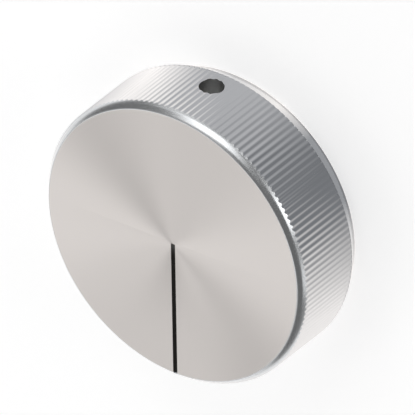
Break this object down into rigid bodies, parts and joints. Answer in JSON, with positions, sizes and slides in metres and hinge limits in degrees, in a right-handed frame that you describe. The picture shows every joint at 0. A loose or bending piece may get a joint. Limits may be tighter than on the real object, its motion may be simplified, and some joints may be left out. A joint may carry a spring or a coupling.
{
  "type": "control knob",
  "caption": "Round turned aluminium control knob with a straight-knurled rim, an engraved black index line on the face, a blind shaft bore and a radial set screw.",
  "frame": {"origin": "centre of the flat back face, on the shaft axis", "axes": "+Z along the shaft axis, from the back face towards the front face; +Y along the index line, away from the set screw"},
  "size_m": [0.05, 0.05, 0.0162],
  "materials": {
    "turned_aluminium": "fine turned, clear anodised, with a bright knurl",
    "black_paint": "matt black filling paint",
    "black_steel": "black oxide, lightly oiled"
  },
  "bodies": {
    "root": {"knob_body": "turned_aluminium", "grub_screw": "black_steel", "index_line": "black_paint"}
  },
  "joints": []
}
